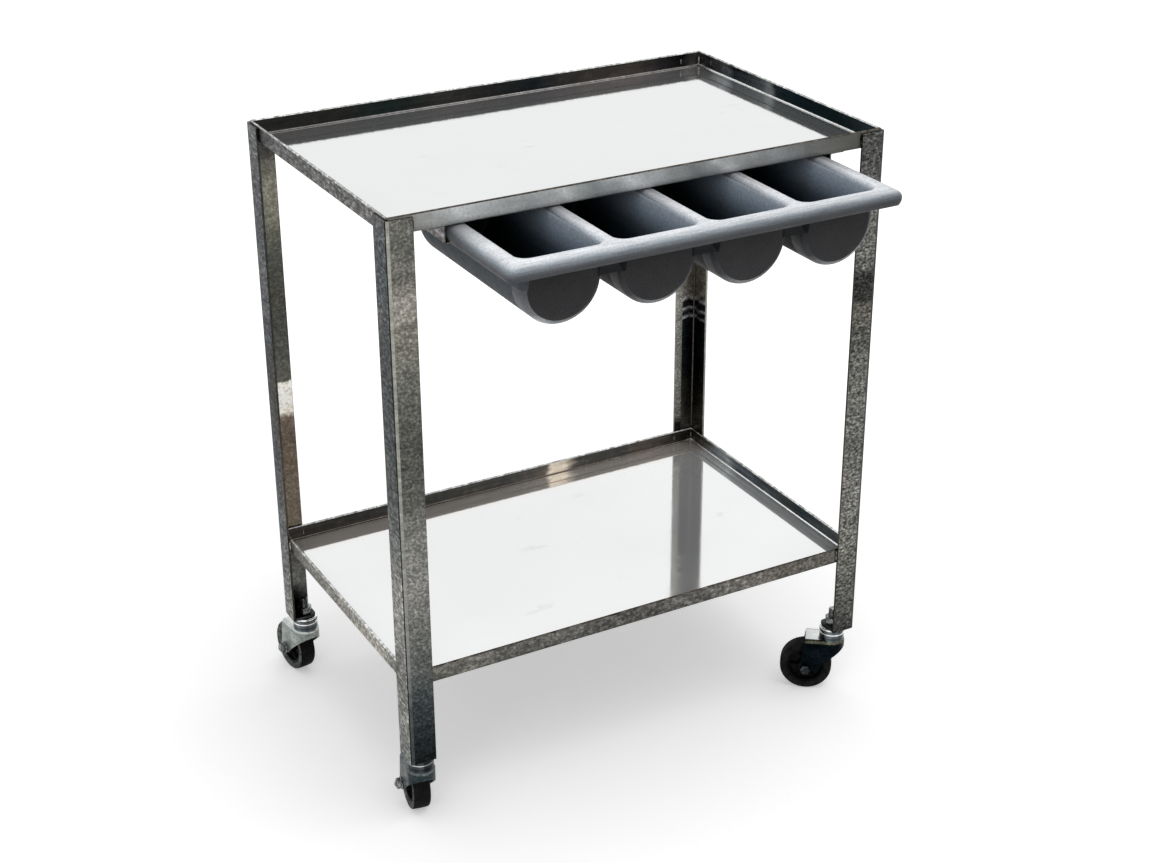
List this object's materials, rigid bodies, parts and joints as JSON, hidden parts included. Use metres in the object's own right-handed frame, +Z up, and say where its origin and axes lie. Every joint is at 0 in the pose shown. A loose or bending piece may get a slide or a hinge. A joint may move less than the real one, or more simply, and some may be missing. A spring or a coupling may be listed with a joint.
{
  "type": "serving trolley with cutlery bin",
  "caption": "Steel serving trolley: raised-rim trays on angle legs, swivel castors, and a pull-out cutlery bin of round-bottomed troughs under the top tray.",
  "frame": {"origin": "on the floor, at the middle of the trolley's box as pictured, with the bin pulled out and the castors as they stand", "axes": "+Z up, +X to the right along the trays' long side, -Y to the front, where the bin pulls out"},
  "size_m": [0.7114, 0.6466, 0.85],
  "materials": {
    "tray_steel": "bright polished stainless sheet, almost a mirror on the floors",
    "leg_steel": "bright stainless angle with a mottled, handled look",
    "zinc_steel": "bright zinc plate on pressed steel",
    "fastener_steel": "bright zinc plate",
    "bin_plastic": "blue-grey moulded plastic with a soft satin grain",
    "tyre_rubber": "dull black rubber",
    "hub_plastic": "black moulded plastic"
  },
  "bodies": {
    "frame": {"leg_front_left": "leg_steel", "leg_front_right": "leg_steel", "leg_rear_left": "leg_steel", "leg_rear_right": "leg_steel", "foot_plate_front_left": "leg_steel", "foot_plate_front_right": "leg_steel", "foot_plate_rear_left": "leg_steel", "foot_plate_rear_right": "leg_steel", "upper_tray": "tray_steel", "lower_tray": "tray_steel", "bin_runner_left": "tray_steel", "bin_runner_right": "tray_steel", "castor_stem_front_left": "fastener_steel", "castor_stem_front_right": "fastener_steel", "castor_stem_rear_left": "fastener_steel", "castor_stem_rear_right": "fastener_steel", "stem_nut_front_left": "fastener_steel", "stem_nut_front_right": "fastener_steel", "stem_nut_rear_left": "fastener_steel", "stem_nut_rear_right": "fastener_steel", "race_cap_front_left": "zinc_steel", "race_cap_front_right": "zinc_steel", "race_cap_rear_left": "zinc_steel", "race_cap_rear_right": "zinc_steel", "ball_ring_front_left": "fastener_steel", "ball_ring_front_right": "fastener_steel", "ball_ring_rear_left": "fastener_steel", "ball_ring_rear_right": "fastener_steel"},
    "bin": {"cutlery_bin": "bin_plastic"},
    "swivel_front_left": {"castor_fork_front_left": "zinc_steel", "axle_bush_front_left": "fastener_steel", "axle_bolt_front_left": "fastener_steel", "axle_nut_front_left": "fastener_steel"},
    "swivel_front_right": {"castor_fork_front_right": "zinc_steel", "axle_bush_front_right": "fastener_steel", "axle_bolt_front_right": "fastener_steel", "axle_nut_front_right": "fastener_steel"},
    "swivel_rear_left": {"castor_fork_rear_left": "zinc_steel", "axle_bush_rear_left": "fastener_steel", "axle_bolt_rear_left": "fastener_steel", "axle_nut_rear_left": "fastener_steel"},
    "swivel_rear_right": {"castor_fork_rear_right": "zinc_steel", "axle_bush_rear_right": "fastener_steel", "axle_bolt_rear_right": "fastener_steel", "axle_nut_rear_right": "fastener_steel"},
    "wheel_front_left": {"tyre_front_left": "tyre_rubber", "wheel_hub_front_left": "hub_plastic"},
    "wheel_front_right": {"tyre_front_right": "tyre_rubber", "wheel_hub_front_right": "hub_plastic"},
    "wheel_rear_left": {"tyre_rear_left": "tyre_rubber", "wheel_hub_rear_left": "hub_plastic"},
    "wheel_rear_right": {"tyre_rear_right": "tyre_rubber", "wheel_hub_rear_right": "hub_plastic"}
  },
  "joints": [
    {"name": "bin_slide", "type": "slide", "parent": "frame", "child": "bin", "axis": [0, -1, 0], "range_m": [-0.15, 0.09]},
    {"name": "castor_swivel_front_left", "type": "hinge", "parent": "frame", "child": "swivel_front_left", "pos_m": [-0.3223, -0.1513, 0.096], "axis": [0, 0, 1], "continuous": true},
    {"name": "castor_swivel_front_right", "type": "hinge", "parent": "frame", "child": "swivel_front_right", "pos_m": [0.3337, -0.1513, 0.096], "axis": [0, 0, 1], "continuous": true},
    {"name": "castor_swivel_rear_left", "type": "hinge", "parent": "frame", "child": "swivel_rear_left", "pos_m": [-0.3223, 0.2507, 0.096], "axis": [0, 0, 1], "continuous": true},
    {"name": "castor_swivel_rear_right", "type": "hinge", "parent": "frame", "child": "swivel_rear_right", "pos_m": [0.3337, 0.2507, 0.096], "axis": [0, 0, 1], "continuous": true},
    {"name": "wheel_spin_front_left", "type": "hinge", "parent": "swivel_front_left", "child": "wheel_front_left", "pos_m": [-0.31623, -0.11683, 0.0375], "axis": [-0.9848, 0.1736, 0], "continuous": true},
    {"name": "wheel_spin_front_right", "type": "hinge", "parent": "swivel_front_right", "child": "wheel_front_right", "pos_m": [0.30574, -0.13024, 0.0375], "axis": [-0.6018, -0.7986, 0], "continuous": true},
    {"name": "wheel_spin_rear_left", "type": "hinge", "parent": "swivel_rear_left", "child": "wheel_rear_left", "pos_m": [-0.32717, 0.28536, 0.0375], "axis": [-0.9903, -0.1392, 0], "continuous": true},
    {"name": "wheel_spin_rear_right", "type": "hinge", "parent": "swivel_rear_right", "child": "wheel_rear_right", "pos_m": [0.31726, 0.2816, 0.0375], "axis": [-0.8829, -0.4695, 0], "continuous": true}
  ]
}
